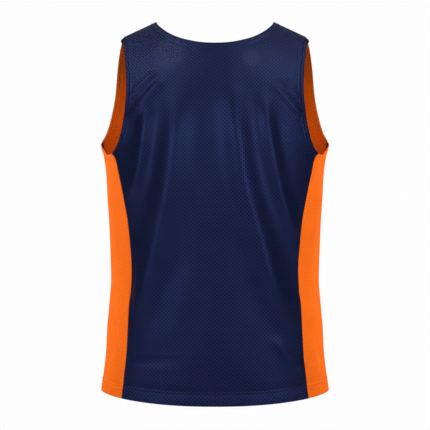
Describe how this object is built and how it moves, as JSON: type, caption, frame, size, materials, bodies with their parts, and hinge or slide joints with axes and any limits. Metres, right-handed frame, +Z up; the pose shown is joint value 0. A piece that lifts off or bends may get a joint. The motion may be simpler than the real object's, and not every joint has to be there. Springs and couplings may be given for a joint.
{
  "type": "reversible training pinnie",
  "caption": "Sleeveless reversible training pinnie in holed mesh knit, filled out as worn but empty, with contrast side pieces, a scooped neck and a curved hem.",
  "frame": {"origin": "midway between the two points where the shoulders meet the neck, at the height of the shoulder ridge, where the wearer's shoulders hold the garment up", "axes": "+Z up, along the garment's length; +Y towards the wearer's front, across its depth; +X towards the wearer's right"},
  "size_m": [0.4374, 0.2764, 0.718],
  "materials": {
    "navy_knit": "matt holed mesh knit with a faint sheen",
    "orange_knit": "matt holed mesh knit with a faint sheen",
    "orange_knit_inside": "matt holed mesh knit",
    "navy_knit_inside": "matt holed mesh knit"
  },
  "bodies": {
    "root": {"back_outer": "navy_knit", "front_outer": "navy_knit", "side_outer_left": "orange_knit", "side_outer_right": "orange_knit", "back_inner": "orange_knit_inside", "front_inner": "orange_knit_inside", "side_inner_left": "navy_knit_inside", "side_inner_right": "navy_knit_inside"}
  },
  "joints": []
}
